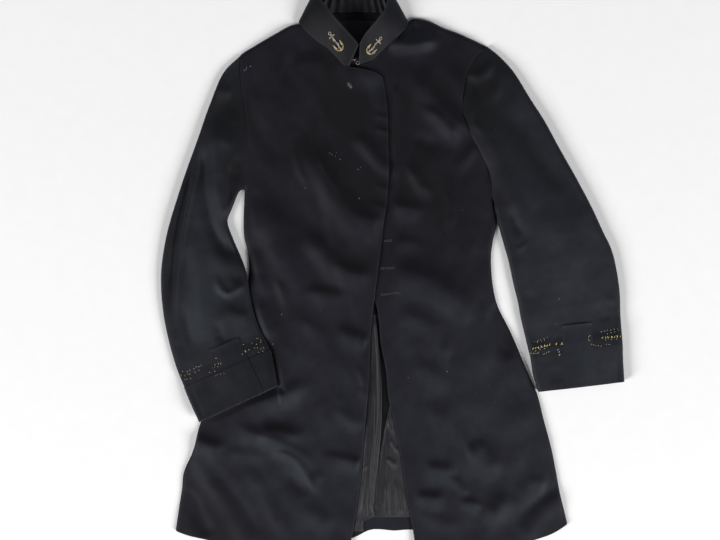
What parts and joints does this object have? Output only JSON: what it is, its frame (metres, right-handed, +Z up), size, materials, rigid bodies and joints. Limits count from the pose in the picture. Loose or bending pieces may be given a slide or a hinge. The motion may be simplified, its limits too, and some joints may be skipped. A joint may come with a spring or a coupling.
{
  "type": "naval frock tunic",
  "caption": "Dark broadcloth naval frock tunic laid flat, with a lapped fly front, a standing collar with embroidered anchors, slashed cuffs and an open skirt.",
  "frame": {"origin": "on the surface the tunic lies on, below the middle of its outline", "axes": "+X towards the wearer's left, +Y towards the collar, +Z up, away from the surface"},
  "size_m": [0.7531, 0.9322, 0.032],
  "materials": {
    "broadcloth": "milled navy-black wool broadcloth, matt, with a short nap and a faint sheen",
    "satin": "worn black cotton satin with a soft sheen",
    "bullion": "padded gilt bullion embroidery, dulled",
    "wire": "worn plated wire"
  },
  "bodies": {
    "root": {"front_right": "broadcloth", "front_left": "broadcloth", "back_right": "broadcloth", "back_left": "broadcloth", "sleeve_top_right": "broadcloth", "sleeve_top_left": "broadcloth", "sleeve_under_right": "broadcloth", "sleeve_under_left": "broadcloth", "cuff_right": "broadcloth", "cuff_left": "broadcloth", "cuff_slash_right": "broadcloth", "cuff_slash_left": "broadcloth", "collar": "broadcloth", "skirt_lining_right": "satin", "skirt_lining_left": "satin", "neck_lining": "satin", "collar_lining": "satin", "collar_anchor_right": "bullion", "collar_anchor_left": "bullion", "collar_hook": "wire", "collar_eye": "wire"}
  },
  "joints": []
}
